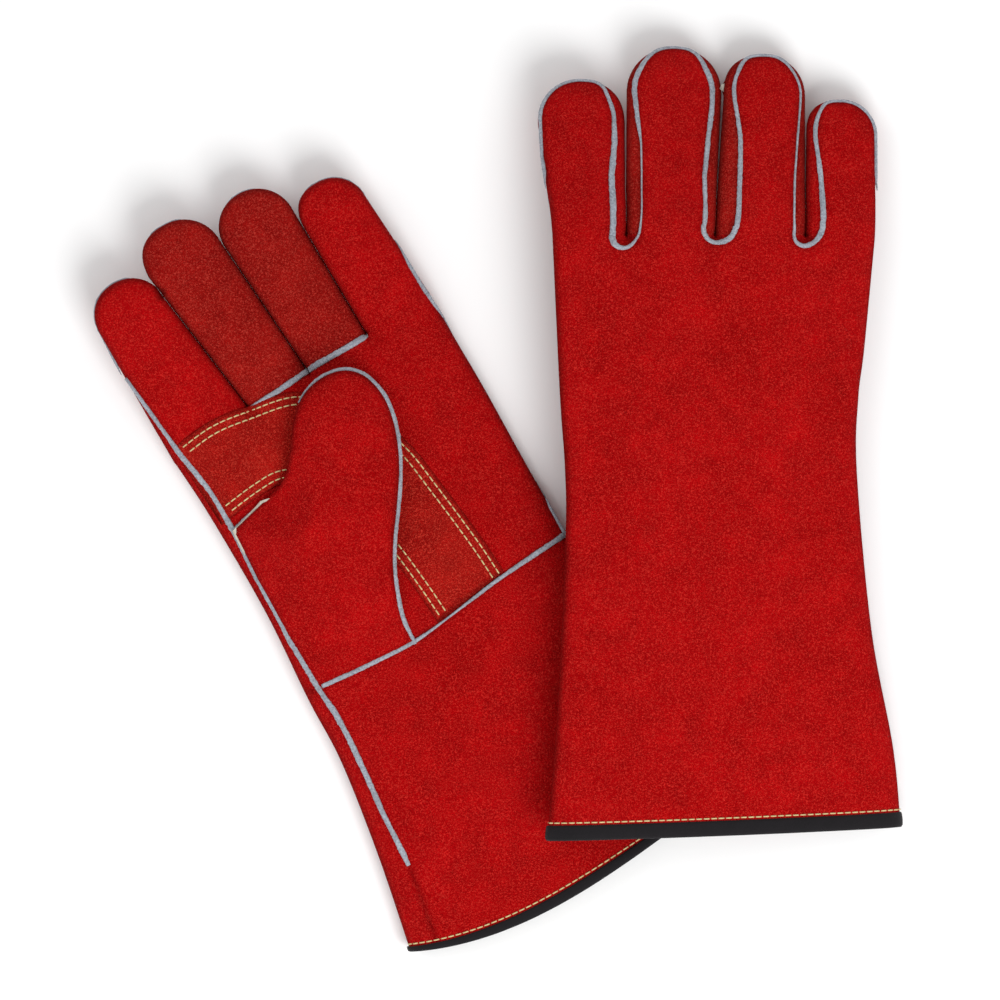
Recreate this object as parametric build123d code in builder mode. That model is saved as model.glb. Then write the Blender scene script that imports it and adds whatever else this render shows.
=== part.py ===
"""A pair of gauntlet welding gloves in split leather, laid flat: the left one palm up, the right one back up
and leaning across the left cuff. Each glove is drawn in its own frame: X from the thumb side to the little
finger, Y from the hem to the fingertips, Z out of the back of the hand, with the middle of the hem at the
origin and the hand's mid-thickness at Z = 0. The pair's frame has +Z up, and its origin on the table under
the middle of the pair."""

import math
import os

from build123d import *

# Leather, lining and the hollow that a hand goes into
LEATHER = 2.0
LAYER_GAP = 0.1
LINING = 1.4
INSIDE = LEATHER + LAYER_GAP + LINING  # from the outer surface to the hollow
HAND_THICK = 17.0
HAND_ROUND = 7.0
FINGER_ROUND = 6.5
PALM_Z = -HAND_THICK / 2

# Seams and trim
SEAM_Z = 2.5  # height of the side seams above mid-thickness, towards the back
WELT_WIDE = 1.6
WELT_PROUD = 0.9
SIDE_WELT_FOOT = 33.0  # where the thumb-side welt stops above the hem
BINDING_TALL = 6.0
BINDING_THICK = 1.2
HEM_STITCH_Y = 8.5
STITCH_WIDE = 0.8
STITCH_DEEP = 0.5
STRAP_THICK = 1.4
STRAP_STITCH_INSETS = (2.0, 6.0)

# Clearances between pieces that move
KNUCKLE_GAP = 0.4
FINGER_INSET = 0.6

# Thumb: it swings over the palm about a pivot at its root
THUMB_PIVOT = (-38.0, 165.0)
THUMB_PAD_R = 15.0
THUMB_PAD_GAP = 0.4
THUMB_THICK = 14.5
THUMB_ROUND = 5.0
THUMB_LIFT = 2.2  # from the palm's surface to the thumb, with the strap between them
THUMB_LONG = 93.0
THUMB_ROOT_WIDE = 43.0
THUMB_TIP_WIDE = 40.0
THUMB_TIP_ROUND = 15.0

FINGERS = ("index", "middle", "ring", "little")
FAR = 300.0

# Each glove as it lies. Edges are (y, x) stations; gaps are the x of the five lines that bound the fingers, at
# the knuckles and again near the tips; curl is each finger's droop towards the palm, in degrees.
GLOVES = {
    "left": dict(
        palm_up=True,
        turn=27.1,
        lean=0.0,
        place=(29.52, -168.48, HAND_THICK / 2),
        thumb_edge=((0, -77.3), (45, -70.6), (90, -66.2), (165, -65.6), (215, -68.2), (250, -71.8)),
        little_edge=((0, 84.0), (70, 76.0), (150, 70.0), (210, 67.8), (236, 66.4), (255, 65.3)),
        hem_sag=12.0,
        hem_rise=0.0,
        knuckles=253.0,
        knuckle_slope=0.117,
        gaps=(-71.8, -30.4, 0.6, 31.6, 65.3),
        tip_gaps=(-74.8, -41.6, -6.2, 28.4, 59.6),
        tip_gap_y=311.0,
        tips=(328.0, 341.0, 338.2, 326.6),
        curl=(10.0, 8.0, 7.0, 8.0),
        thumb_turn=-29.0,
    ),
    "right": dict(
        palm_up=False,
        turn=0.0,
        lean=10.0,
        place=(99.44, -152.56, 26.6),
        thumb_edge=((0, -78.5), (62, -73.6), (134, -70.2), (165, -70.4), (200, -72.6), (271, -76.2)),
        little_edge=((0, 83.5), (40, 79.7), (94, 69.6), (165, 62.9), (198, 63.6), (220, 66.3), (271, 71.3)),
        hem_sag=0.6,
        hem_rise=5.4,
        knuckles=271.0,
        knuckle_slope=0.0,
        gaps=(-76.2, -42.8, -2.3, 39.9, 71.3),
        tip_gaps=(-80.0, -42.8, 0.7, 38.8, 72.8),
        tip_gap_y=320.0,
        tips=(341.0, 355.9, 352.0, 331.4),
        curl=(17.0, 13.0, 9.0, 6.0),
        thumb_turn=3.0,
    ),
}

# Seams on the palm side, as (x, y) in a glove's own frame
WRIST_SEAM = ((-90.0, 126.4), (-28.0, 123.4), (-8.0, 123.8), (19.0, 128.4), (37.0, 131.3), (95.0, 138.5))
THUMB_SEAM_INSETS = ((0, 13.0), (33, 12.0), (115, 10.0), (165, 8.5), (210, 8.5), (230, 8.5))
STRAP_OUTER = ((38.0, 130.6), (33.0, 170.0), (27.0, 203.0), (-8.0, 238.0), (-35.0, 241.0), (-59.5, 239.0))
STRAP_INNER = ((2.7, 124.5), (0.0, 160.0), (-3.0, 188.0), (-27.0, 208.0), (-44.0, 209.0), (-57.0, 206.5))
WING = ((-75.0, 170.0), (-75.0, 110.0), (-12.6, 110.0), (-14.3, 170.0))


def knuckle_y(glove, x):
    """The knuckle line's y at x."""
    return glove["knuckles"] + glove["knuckle_slope"] * x


def edge_x(stations, y):
    """The x of a side edge at y, straight between its stations."""
    for (y0, x0), (y1, x1) in zip(stations, stations[1:]):
        if y <= y1:
            return x0 + (x1 - x0) * (y - y0) / (y1 - y0)
    return stations[-1][1]


def beside(points, distance):
    """The points of a path moved to its left by the distance."""
    moved = []
    for i, (x, y) in enumerate(points):
        x0, y0 = points[max(i - 1, 0)]
        x1, y1 = points[min(i + 1, len(points) - 1)]
        long = math.hypot(x1 - x0, y1 - y0)
        moved.append((x - distance * (y1 - y0) / long, y + distance * (x1 - x0) / long))
    return moved


def slab(low_z, high_z, first, second):
    """A slab between two paths that run the same way, splined along each and straight across the ends."""
    with BuildPart() as body:
        with BuildSketch(Plane.XY.offset(low_z)):
            with BuildLine():
                one = Spline(*first)
                two = Spline(*second)
                Line(one @ 1, two @ 1)
                Line(one @ 0, two @ 0)
            make_face()
        extrude(amount=high_z - low_z)
    return body.part


def ribbon(low_z, high_z, path, wide, offset_by=0.0):
    """A narrow slab along a path, or along a line beside it."""
    return slab(low_z, high_z, beside(path, offset_by - wide / 2), beside(path, offset_by + wide / 2))


def hand_block(glove, inset=0.0, past=0.0):
    """The hand and cuff as one solid with rounded sides, inset all round and longer at both ends by past."""
    left = [(x + inset, y) for y, x in glove["thumb_edge"]]
    right = [(x - inset, y) for y, x in glove["little_edge"]]
    right[0] = (right[0][0], glove["hem_rise"])
    left[-1] = (left[-1][0], knuckle_y(glove, left[-1][0]))
    right[-1] = (right[-1][0], knuckle_y(glove, right[-1][0]))
    with BuildPart() as block:
        with BuildSketch(Plane.XY.offset(PALM_Z + inset)):
            with BuildLine():
                low, high = [], []
                for stations in (left, right):
                    side = Spline(*stations)
                    low.append(side @ 0 - side % 0 * past)
                    high.append(side @ 1 + side % 1 * past)
                    if past:
                        Line(low[-1], side @ 0)
                        Line(side @ 1, high[-1])
                ThreePointArc(low[0], (low[0] + low[1]) / 2 - Vector(0, glove["hem_sag"]), low[1])
                Line(high[0], high[1])
            make_face()
        extrude(amount=HAND_THICK - 2 * inset)
        sides = [e for e in block.edges() if (e @ 0).Z == (e @ 1).Z and abs((e % 0.5).Y) > 0.7]
        fillet(sides, radius=HAND_ROUND - inset)
    return block.part


def finger_block(glove, number, inset=0.0, past=0.0):
    """One finger as a solid with a rounded tip and rounded sides, standing off the knuckle line."""
    side = FINGER_INSET + inset
    x0, x1 = glove["gaps"][number] + side, glove["gaps"][number + 1] - side
    t0, t1 = glove["tip_gaps"][number] + side, glove["tip_gaps"][number + 1] - side
    tip = glove["tips"][number] - inset
    base0, base1 = (knuckle_y(glove, x) + KNUCKLE_GAP for x in (x0, x1))
    slope0 = (t0 - x0) / (glove["tip_gap_y"] - base0)
    slope1 = (t1 - x1) / (glove["tip_gap_y"] - base1)
    tip0, tip1 = x0 + slope0 * (tip - base0), x1 + slope1 * (tip - base1)
    foot0, foot1 = (x0 - slope0 * past, base0 - past), (x1 - slope1 * past, base1 - past)
    with BuildPart() as block:
        with BuildSketch(Plane.XY.offset(PALM_Z + inset)) as outline:
            with BuildLine():
                Polyline(foot0, (tip0, tip), (tip1, tip), foot1, close=True)
            make_face()
            fillet(outline.vertices().sort_by(Axis.Y)[-2:], radius=(tip1 - tip0) * 0.42)
        extrude(amount=HAND_THICK - 2 * inset)
        around = [
            e
            for f in (block.faces().sort_by(Axis.Z)[0], block.faces().sort_by(Axis.Z)[-1])
            for e in f.edges()
            if e.center().Y > max(base0, base1) + 5
        ]
        fillet(around, radius=FINGER_ROUND - inset)
    return block.part


def thumb_block(inset=0.0):
    """The thumb as a solid with its root's centre at the origin, pointing along +Y."""
    root, tip = THUMB_ROOT_WIDE / 2 - inset, THUMB_TIP_WIDE / 2 - inset
    low = inset - THUMB_THICK / 2
    with BuildPart() as block:
        with BuildSketch(Plane.XY.offset(low)) as outline:
            with BuildLine():
                Line((root, 0), (tip, THUMB_LONG - inset))
                Line((tip, THUMB_LONG - inset), (-tip, THUMB_LONG - inset))
                Line((-tip, THUMB_LONG - inset), (-root, 0))
                ThreePointArc((-root, 0), (0, -root), (root, 0))
            make_face()
            fillet(outline.vertices().sort_by(Axis.Y)[-2:], radius=THUMB_TIP_ROUND - inset)
        extrude(amount=THUMB_THICK - 2 * inset)
        fillet(
            block.faces().sort_by(Axis.Z)[0].edges() + block.faces().sort_by(Axis.Z)[-1].edges(),
            radius=THUMB_ROUND - inset,
        )
    return block.part


def shell(outer, inner):
    """The layer between two solids."""
    with BuildPart() as layer:
        add(outer)
        add(inner, mode=Mode.SUBTRACT)
    return layer.part


def part_of(solid, keep=(), cut=()):
    """A solid cut down to what lies inside each tool to keep and outside each tool to cut."""
    with BuildPart() as piece:
        add(solid)
        for tool in keep:
            add(tool, mode=Mode.INTERSECT)
        for tool in cut:
            add(tool, mode=Mode.SUBTRACT)
    return piece.part


def level(low_z, high_z):
    """Everything between two heights."""
    with BuildPart() as body:
        with BuildSketch(Plane.XY.offset(low_z)):
            with Locations((0, 150)):
                Rectangle(2 * FAR, 2 * FAR)
        extrude(amount=high_z - low_z)
    return body.part


def hem_zone(glove, lift):
    """Everything on the hem's side of a line that runs along the hem, lifted above it."""
    left, right = glove["thumb_edge"][0][1], glove["little_edge"][0][1]
    rise, sag = glove["hem_rise"], glove["hem_sag"]
    with BuildPart() as body:
        with BuildSketch(Plane.XY.offset(-50)):
            with BuildLine():
                ThreePointArc((left, lift), ((left + right) / 2, rise / 2 - sag + lift), (right, rise + lift))
                Polyline(
                    (left, lift), (left - 60, lift), (left - 60, -90), (right + 60, -90),
                    (right + 60, rise + lift), (right, rise + lift),
                )
            make_face()
        extrude(amount=100)
    return body.part


def curled(glove, number, solid):
    """A finger's solid turned about its knuckle, towards the palm."""
    line = Axis((0, glove["knuckles"], PALM_Z), (1, glove["knuckle_slope"], 0))
    return solid.rotate(line, -glove["curl"][number])


def folded(glove, solid):
    """A thumb's solid put on its pivot over the palm."""
    middle_z = PALM_Z - THUMB_LIFT - THUMB_THICK / 2
    return Pos(*THUMB_PIVOT, middle_z) * Rot(0, 0, glove["thumb_turn"]) * solid


def laid(glove, solid):
    """A glove's solid as it lies in the pair."""
    if glove["palm_up"]:
        solid = mirror(solid, about=Plane.XY)
    return Pos(*glove["place"]) * Rot(0, glove["lean"], glove["turn"]) * solid


def save(glove, side, name, *solids):
    """Write one node, of one solid or of several separate ones."""
    placed = [laid(glove, solid) for solid in solids]
    with BuildPart() as node:
        for solid in placed:
            add(solid)
    node.part.label = f"{side}_{name}"
    export_step(node.part, f"parts/{side}_{name}.step")


def make_hand(glove, side):
    """The hand and cuff: leather panels, palm strap, welting, hem and lining."""
    outside = hand_block(glove)
    leather = shell(outside, hand_block(glove, inset=LEATHER, past=4))
    lining = shell(hand_block(glove, inset=LEATHER + LAYER_GAP), hand_block(glove, inset=INSIDE, past=4))
    base, top = hem_zone(glove, BINDING_THICK), hem_zone(glove, BINDING_TALL)
    end_cap = part_of(outside, keep=[base], cut=[hand_block(glove, inset=INSIDE, past=4)])
    sleeve = part_of(shell(outside, hand_block(glove, inset=BINDING_THICK, past=4)), keep=[top])
    with BuildPart() as binding:
        add(end_cap)
        add(sleeve)
    row_low = hem_zone(glove, HEM_STITCH_Y - STITCH_WIDE / 2)
    row_high = hem_zone(glove, HEM_STITCH_Y + STITCH_WIDE / 2)
    hem_row = part_of(
        shell(outside, hand_block(glove, inset=STITCH_DEEP, past=4)), keep=[row_high], cut=[row_low]
    )

    # The palm side: right of the thumb-side seam and below the side seam
    seam = [(edge_x(glove["thumb_edge"], y) + inset, y) for y, inset in THUMB_SEAM_INSETS]
    seam_top = knuckle_y(glove, seam[-1][0]) + 6
    seam = [(seam[0][0] - 1, -30.0)] + seam + [(seam[-1][0] - 2.5, seam_top)]
    far_side = [(FAR, y) for _, y in seam]
    front_zone = slab(-40, SEAM_Z, seam, far_side)
    wrist = list(WRIST_SEAM)
    above_wrist = slab(-40, 40, wrist, [(x, 400.0) for x, _ in wrist])
    side_slot = part_of(level(SEAM_Z - WELT_WIDE / 2, SEAM_Z + WELT_WIDE / 2), keep=[slab(
        -40, 40, [(20.0, y) for _, y in seam], far_side)])
    thumb_slot = ribbon(-40, 0, seam, WELT_WIDE)
    wrist_slot = part_of(ribbon(-40, 0, wrist, WELT_WIDE), keep=[front_zone])
    with BuildPart() as wing_zone:
        with BuildSketch(Plane.XY.offset(-40)):
            with BuildLine():
                Polyline(*WING, close=True)
            make_face()
        extrude(amount=40)
    wing_top = [(-60.0, 170.0), (-37.0, 170.0), (-14.3, 170.0)]
    wing_side = [(-14.3, 170.0), (-13.6, 145.0), (-13.0, 117.0)]
    wing_slots = [ribbon(-40, 0, wing_top, WELT_WIDE), ribbon(-40, 0, wing_side, WELT_WIDE)]

    trims = [binding.part, hem_row]
    back = part_of(leather, cut=[front_zone, side_slot, thumb_slot] + trims)
    front = part_of(leather, keep=[front_zone], cut=[side_slot, thumb_slot] + trims)
    cuff = part_of(front, cut=[above_wrist, wrist_slot])
    above = part_of(front, keep=[above_wrist], cut=[wrist_slot])
    palm = part_of(above, cut=[wing_zone.part] + wing_slots)
    wing_plate = part_of(above, keep=[wing_zone.part], cut=wing_slots)
    with BuildPart() as wing:
        add(wing_plate)
        with BuildSketch(Plane.XY.offset(PALM_Z - THUMB_LIFT + THUMB_PAD_GAP)):
            with Locations((THUMB_PIVOT[0], THUMB_PIVOT[1] - 14)):
                Circle(THUMB_PAD_R)
        extrude(amount=THUMB_LIFT - THUMB_PAD_GAP)
        add(above_wrist, mode=Mode.INTERSECT)

    # Welting fills the slots between the panels and stands a little proud of them
    proud = level(PALM_Z - WELT_PROUD, PALM_Z + LEATHER)
    past_hem = hem_zone(glove, HEM_STITCH_Y + 2)
    hand_length = part_of(hand_block(glove, inset=-WELT_PROUD), cut=[hand_block(glove, inset=LEATHER, past=4)])
    welt_length = part_of(hand_length, cut=[past_hem])
    side_welt = part_of(welt_length, keep=[side_slot])
    thumb_welt = part_of(
        ribbon(PALM_Z - WELT_PROUD, PALM_Z + LEATHER, seam, WELT_WIDE), keep=[hand_length],
        cut=[hem_zone(glove, SIDE_WELT_FOOT)])
    wrist_welt = part_of(wrist_slot, keep=[proud, welt_length], cut=[thumb_welt, side_slot, thumb_slot])
    wing_welts = [
        part_of(slot, keep=[proud, front_zone, above_wrist], cut=[thumb_slot, wrist_slot]) for slot in wing_slots
    ]
    save(glove, side, "back_panel", back)
    save(glove, side, "palm_panel", palm)
    save(glove, side, "cuff_front", cuff)
    save(glove, side, "thumb_wing", wing.part)
    save(glove, side, "seam_welting", side_welt, thumb_welt, wrist_welt, *wing_welts)
    save(glove, side, "hem_binding", binding.part)
    save(glove, side, "hem_stitching", hem_row)
    save(glove, side, "hand_lining", part_of(lining, cut=[base]))

    # The strap lies on the palm, with two rows of stitching along each of its edges
    low = PALM_Z - STRAP_THICK
    strap = slab(low, PALM_Z, list(STRAP_OUTER), list(STRAP_INNER))
    rows = [
        ribbon(low, low + STITCH_DEEP, path, STITCH_WIDE, offset_by=way * inset)
        for path, way in ((list(STRAP_OUTER), 1), (list(STRAP_INNER), -1))
        for inset in STRAP_STITCH_INSETS
    ]
    rows = [part_of(row, keep=[strap]) for row in rows]
    save(glove, side, "palm_strap", part_of(strap, cut=rows + [thumb_welt, wrist_welt]))
    save(glove, side, "strap_stitching", *rows)


def make_finger(glove, side, number):
    """One finger: a back and a front of leather with a welt between them, and its lining."""
    outside = finger_block(glove, number)
    leather = shell(outside, finger_block(glove, number, inset=LEATHER, past=4))
    lining = shell(
        finger_block(glove, number, inset=LEATHER + LAYER_GAP), finger_block(glove, number, inset=INSIDE, past=4)
    )
    pieces = {
        "back": part_of(leather, keep=[level(SEAM_Z + WELT_WIDE / 2, 40)]),
        "front": part_of(leather, keep=[level(-40, SEAM_Z - WELT_WIDE / 2)]),
        "welt": part_of(leather, keep=[level(SEAM_Z - WELT_WIDE / 2, SEAM_Z + WELT_WIDE / 2)]),
        "lining": lining,
    }
    for name, piece in pieces.items():
        save(glove, side, f"{FINGERS[number]}_{name}", curled(glove, number, piece))


def make_thumb(glove, side):
    """The thumb: a front and a back of leather with a welt between them, and its lining."""
    leather = shell(thumb_block(), thumb_block(LEATHER))
    pieces = {
        "front": part_of(leather, keep=[level(-40, -WELT_WIDE / 2)]),
        "back": part_of(leather, keep=[level(WELT_WIDE / 2, 40)]),
        "welt": part_of(leather, keep=[level(-WELT_WIDE / 2, WELT_WIDE / 2)]),
        "lining": shell(thumb_block(LEATHER + LAYER_GAP), thumb_block(INSIDE)),
    }
    for name, piece in pieces.items():
        save(glove, side, f"thumb_{name}", folded(glove, piece))


os.makedirs("parts", exist_ok=True)
for side, glove in GLOVES.items():
    make_hand(glove, side)
    for number in range(len(FINGERS)):
        make_finger(glove, side, number)
    make_thumb(glove, side)
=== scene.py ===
"""The looks of a pair of gauntlet welding gloves: soft split-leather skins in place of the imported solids.

Each glove is drawn in plan in its own frame, in millimetres: X from the thumb side to the little finger,
Y from the hem to the fingertips and Z out of the back of the hand, with Z = 0 half way through the hand.
It is then bent at the knuckles, laid in the pair and turned into metres."""

import math

import bpy
import numpy as np
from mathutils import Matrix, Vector, noise
from mathutils.geometry import delaunay_2d_cdt
from mathutils.kdtree import KDTree


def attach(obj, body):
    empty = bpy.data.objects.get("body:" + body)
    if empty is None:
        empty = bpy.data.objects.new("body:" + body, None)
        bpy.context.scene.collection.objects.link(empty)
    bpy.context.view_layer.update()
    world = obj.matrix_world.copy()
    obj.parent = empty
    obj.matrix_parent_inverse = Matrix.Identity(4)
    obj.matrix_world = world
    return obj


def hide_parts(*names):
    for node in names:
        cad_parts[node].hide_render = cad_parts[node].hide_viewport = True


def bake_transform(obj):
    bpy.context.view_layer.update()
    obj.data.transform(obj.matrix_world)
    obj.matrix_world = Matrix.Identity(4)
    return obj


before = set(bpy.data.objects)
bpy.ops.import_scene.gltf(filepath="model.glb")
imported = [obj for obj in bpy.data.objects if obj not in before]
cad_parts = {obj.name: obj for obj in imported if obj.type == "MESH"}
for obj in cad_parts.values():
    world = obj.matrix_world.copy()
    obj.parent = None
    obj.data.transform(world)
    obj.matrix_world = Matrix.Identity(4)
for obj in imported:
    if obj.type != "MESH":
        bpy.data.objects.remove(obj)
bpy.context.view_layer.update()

# ---------------------------------------------------------------- the pattern, as the CAD model has it

HALF_THICK = 8.5
FINGERS = ("index", "middle", "ring", "little")
LINING_DEPTH = 2.3  # from the outside of the leather to the face of the lining
THUMB_LINING_DEPTH = 1.6
SLIT = 0.06  # half the gap between two fingers
CROTCH_DIP = 0.7  # how far the outline dips below the knuckle line between two fingers
HEM_REACH = 36  # how far the outline runs on past the hem, before the hem cuts it
STRAP_THICK = 1.5

# How a skin stands: its height over the plan, and how quickly it rises from the outline
PUFF = 9.0
PUFF_REACH = 8.5
THUMB_PUFF_REACH = 7.5
RIPPLE_WIDE, RIPPLE_WIDE_HIGH = 34.0, 0.55
RIPPLE_FINE, RIPPLE_FINE_HIGH = 11.0, 0.16
GRID = 1.25  # cell of the grid that the height is solved on
RELAX_STEPS = 700
SPACING = 2.3  # of the mesh's points over a panel
ROW_STEP = 0.866  # from row to row, as a share of the spacing, for even triangles
SEAM_SHADE = 2.6  # width of the painted shade beside a seam

GLOVES = {
    "left": dict(
        palm_up=True,
        turn=27.1,
        lean=0.0,
        place=(29.52, -168.48, 8.5),
        thumb_edge=(
            (0, -77.3), (45, -70.6), (90, -66.2), (122, -66.6), (165, -65.8), (215, -68.4), (245, -71.6),
        ),
        little_edge=((0, 84.0), (70, 76.0), (150, 70.0), (210, 67.8), (236, 66.3), (261, 65.3)),
        hem_sag=12.0,
        hem_rise=0.0,
        hem_skew=0.95,
        tape_tall=4.5,
        tape_roll=0.55,
        knuckles=253.0,
        knuckle_slope=0.117,
        gaps=(-71.8, -30.4, 0.6, 31.6, 65.3),
        tip_gaps=(-74.8, -41.6, -6.2, 28.4, 59.6),
        tip_gap_y=311.0,
        tips=(328.0, 341.0, 338.2, 326.6),
        tip_square=((2.1, 2.1), (2.5, 2.0), (2.1, 2.0), (2.5, 2.0)),
        curl=(10.0, 8.0, 7.0, 8.0),
        thumb_bend=0.0,
        little_seam=(
            (0, -2.0), (112, -2.0), (136, 0.9), (149, 0.6), (172, -2.0), (232, -2.0), (254, 0.8),
            (262, 1.4), (274, 0.9), (282, 0.1), (289, -0.6),
        ),
        seed=3.0,
    ),
    "right": dict(
        palm_up=False,
        turn=0.0,
        lean=10.0,
        place=(99.44, -152.56, 26.6),
        thumb_edge=((0, -78.5), (62, -73.6), (134, -70.2), (165, -70.4), (200, -72.8), (271, -76.2)),
        little_edge=((0, 83.5), (40, 79.7), (94, 69.6), (165, 62.9), (198, 63.6), (220, 66.3), (271, 71.3)),
        hem_sag=0.6,
        hem_rise=5.4,
        hem_skew=0.0,
        tape_tall=6.4,
        tape_roll=0.0,
        knuckles=271.0,
        knuckle_slope=0.0,
        gaps=(-76.2, -42.8, -2.3, 39.2, 71.3),
        tip_gaps=(-80.0, -40.4, 2.5, 40.8, 72.8),
        tip_gap_y=320.0,
        tips=(341.0, 355.9, 352.0, 331.4),
        tip_square=((2.0, 2.4), (2.0, 2.2), (2.4, 2.1), (2.6, 2.0)),
        curl=(17.0, 13.0, 9.0, 6.0),
        thumb_bend=32.0,
        little_seam=((0, 2.0), (268, 2.0), (289, 0.0)),
        seed=11.0,
    ),
}

# Seams. On the back the welt runs down either side of each gap between fingers, each leg given as (way from
# the crotch to the fingertip, inset from the gap, width of the welt).
LEFT_LEGS = (
    ((0.0, 7.3, 3.0), (0.15, 7.6, 3.0), (0.47, 8.1, 2.9), (0.79, 6.4, 2.7), (1.0, 6.1, 1.7)),
    ((0.0, 6.6, 2.1), (0.12, 6.9, 2.0), (0.385, 8.7, 2.0), (0.65, 7.8, 2.2), (0.91, 5.8, 2.4), (1, 5.5, 2.5)),
    ((0.0, 6.4, 1.1), (0.126, 6.9, 0.9), (0.4, 6.5, 0.8), (0.675, 5.2, 0.8), (0.95, 3.3, 1.0), (1, 3.1, 1.0)),
)
RIGHT_LEGS = (
    ((0.0, 5.1, 1.0), (0.15, 5.5, 0.7), (0.38, 5.3, 0.7), (0.62, 4.9, 0.8), (0.8, 3.6, 2.1), (1, 2.8, 2.3)),
    ((0.0, 8.1, 2.4), (0.126, 8.2, 2.3), (0.4, 7.2, 2.1), (0.675, 6.4, 2.0), (0.95, 4.0, 1.7), (1, 3.8, 1.7)),
    ((0.0, 6.4, 2.6), (0.177, 6.65, 2.5), (0.57, 5.3, 2.3), (0.95, 3.3, 1.9), (1.0, 3.3, 1.7)),
)
GAP_LIFT = (-1.8, 0.8, -0.5)  # of the turn below each gap
GAP_SWAY = (2.3, 0.2, 1.8)  # of the same turn towards the thumb
GAP_DROP = 7.0
EDGE_INSET = 0.8
EDGE_WIDE = 1.6
OUTER_FOOT = 289.0  # where the back's seam meets the side seams
TOP_WIDE = 1.3
THUMB_SEAM = (
    (-20, 13.5), (33, 12.0), (62, 8.8), (89, 7.8), (112, 8.0), (126, 6.4), (150, 4.2), (180, 4.2),
    (204, 5.9), (226, 6.3), (247, 4.4), (269, 2.2), (289, 0.3),
)
SIDE_WELT_FOOT = 33.0
WRIST = (
    (-90.0, 126.6), (-54.4, 124.3), (-29.5, 123.4), (-9.0, 123.8), (18.7, 128.4), (35.0, 131.3),
    (67.0, 135.2), (95.0, 138.6),
)
STRAP_OUTER = (
    (38.1, 133.2), (36.2, 150.0), (31.2, 180.0), (25.5, 206.0), (12.0, 231.0), (-8.0, 247.5),
    (-32.0, 251.9), (-50.0, 253.2), (-69.5, 250.2),
)
STRAP_INNER = (
    (1.3, 126.3), (-1.0, 145.0), (-4.6, 166.0), (-11.0, 190.0), (-21.0, 206.0), (-31.0, 213.5),
    (-44.0, 213.4), (-65.5, 209.6),
)

# The thumb in plan: its free edge from the crotch, round the tip and down to the wrist
THUMB_FREE = (
    (-40.5, 211.5), (-34.0, 213.4), (-27.6, 218.7), (-21.2, 227.4), (-14.4, 237.4), (-6.0, 244.6),
    (4.3, 247.9), (15.0, 246.6), (22.5, 240.0), (25.9, 228.5), (25.0, 216.5), (21.7, 205.2), (16.6, 193.9),
    (8.4, 180.3), (1.0, 168.9), (-5.2, 157.2), (-9.8, 144.5), (-12.2, 133.8), (-12.4, 122.6),
)
THUMB_CROTCH = ((-50.3, 208.5), (-41.0, 211.3))
THUMB_WELT_START = (-9.4, 242.2)
THUMB_FOOT = (-40.0, 122.0)
THUMB_AXIS = (0.42, 0.907)
THUMB_TALL = 16.0
THUMB_PIVOT = (-38.0, 165.0)
THUMB_START, THUMB_END = np.array([-58.0, 168.0]), np.array([-14.0, 205.0])  # where its bend starts and ends
FINGER_BEND = 22  # length of a finger's bend past the knuckle line
WELT_TALL = 1.5
WELT_STEP = 0.9
STITCH_INSETS = (2.3, 5.7)
HEM_WAY = np.sin(np.linspace(-math.pi / 2, math.pi / 2, 90))  # stations across the hem, closer at its ends


def knuckle_y(g, x):
    return g["knuckles"] + g["knuckle_slope"] * x


def smooth(t):
    t = np.clip(t, 0, 1)
    return t * t * (3 - 2 * t)


def unit(v):
    return v / np.maximum(np.linalg.norm(v, axis=1), 1e-15)[:, None]


def run_along(path):
    """How far along a path each of its points is."""
    return np.concatenate([[0], np.cumsum(np.linalg.norm(np.diff(path, axis=0), axis=1))])


def spline(points, step=1.6):
    """A Catmull-Rom curve through the points, sampled about every step."""
    p = np.array(points, float)
    p = np.vstack([2 * p[0] - p[1], p, 2 * p[-1] - p[-2]])
    out = []
    for a, b, c, d in zip(p, p[1:], p[2:], p[3:]):
        n = max(2, int(np.linalg.norm(c - b) / step))
        t = (np.arange(n) / n)[:, None]
        square, cube = 2 * a - 5 * b + 4 * c - d, 3 * b - a - 3 * c + d
        out.append(0.5 * (2 * b + (c - a) * t + square * t**2 + cube * t**3))
    out.append(p[-2][None])
    return np.vstack(out)


def edge_curve(stations):
    """A side edge as x against y."""
    c = spline([(x, y) for y, x in stations], 2.0)
    return lambda y: np.interp(y, c[:, 1], c[:, 0])


def gap_x(g, k, y):
    """The x of the line that bounds finger k on the thumb side, at y."""
    y0 = knuckle_y(g, g["gaps"][k])
    return g["gaps"][k] + (g["tip_gaps"][k] - g["gaps"][k]) * (y - y0) / (g["tip_gap_y"] - y0)


def finger_at(g, pts):
    """The finger that each plan point belongs to, or -1 below the knuckle line."""
    finger = np.zeros(len(pts), int)
    for k in range(1, 4):
        finger[pts[:, 0] > gap_x(g, k, pts[:, 1])] = k
    finger[pts[:, 1] <= knuckle_y(g, pts[:, 0])] = -1
    return finger


def tip_circle(g, k):
    """The centre and the radius of a fingertip."""
    yc = g["tips"][k] - 20
    for _ in range(4):
        x0, x1 = gap_x(g, k, yc), gap_x(g, k + 1, yc)
        a = (x1 - x0) / 2 - SLIT
        yc = g["tips"][k] - a
    return (x0 + x1) / 2, yc, a


def tip_point(g, k, angle, inset=0.0):
    """A point on a fingertip, a circle that is a little square on one side or both."""
    xc, yc, a = tip_circle(g, k)
    c, s = math.cos(angle), math.sin(angle)
    power = 2 / g["tip_square"][k][0 if c < 0 else 1]
    return xc + (a - inset) * math.copysign(abs(c) ** power, c), yc + (a - inset) * abs(s) ** power


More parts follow.
